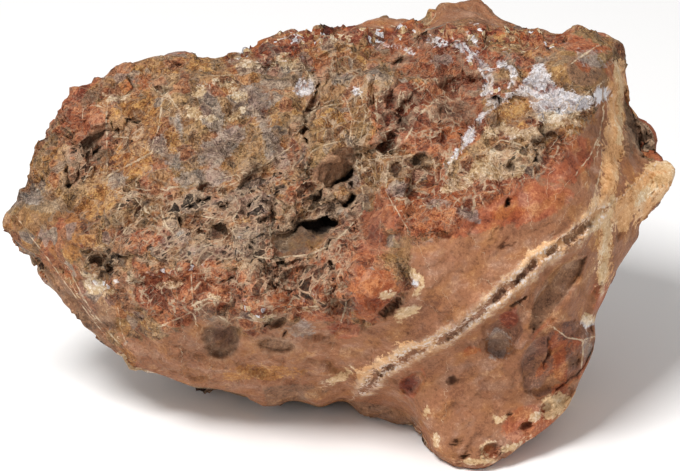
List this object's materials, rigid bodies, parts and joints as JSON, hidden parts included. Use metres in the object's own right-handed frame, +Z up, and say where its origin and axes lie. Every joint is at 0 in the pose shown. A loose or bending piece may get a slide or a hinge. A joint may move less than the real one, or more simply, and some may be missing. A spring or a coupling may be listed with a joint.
{
  "type": "aquascaping rock",
  "caption": "Rugged natural stone with a spongy upper face, a smooth slab crossed by a pale crystal-lined vein, a foot lobe and a level base, for standing in an aquarium or a display.",
  "frame": {"origin": "middle of the bounding box, on the level that the stone rests on", "axes": "+X to the right along the stone's length as seen from the front, +Y to the back, +Z up"},
  "size_m": [0.1582, 0.1018, 0.0877],
  "materials": {
    "stone": "matt silicified breccia: brown, rust red, ochre and grey with pale veins"
  },
  "bodies": {
    "root": {"rock": "stone"}
  },
  "joints": []
}
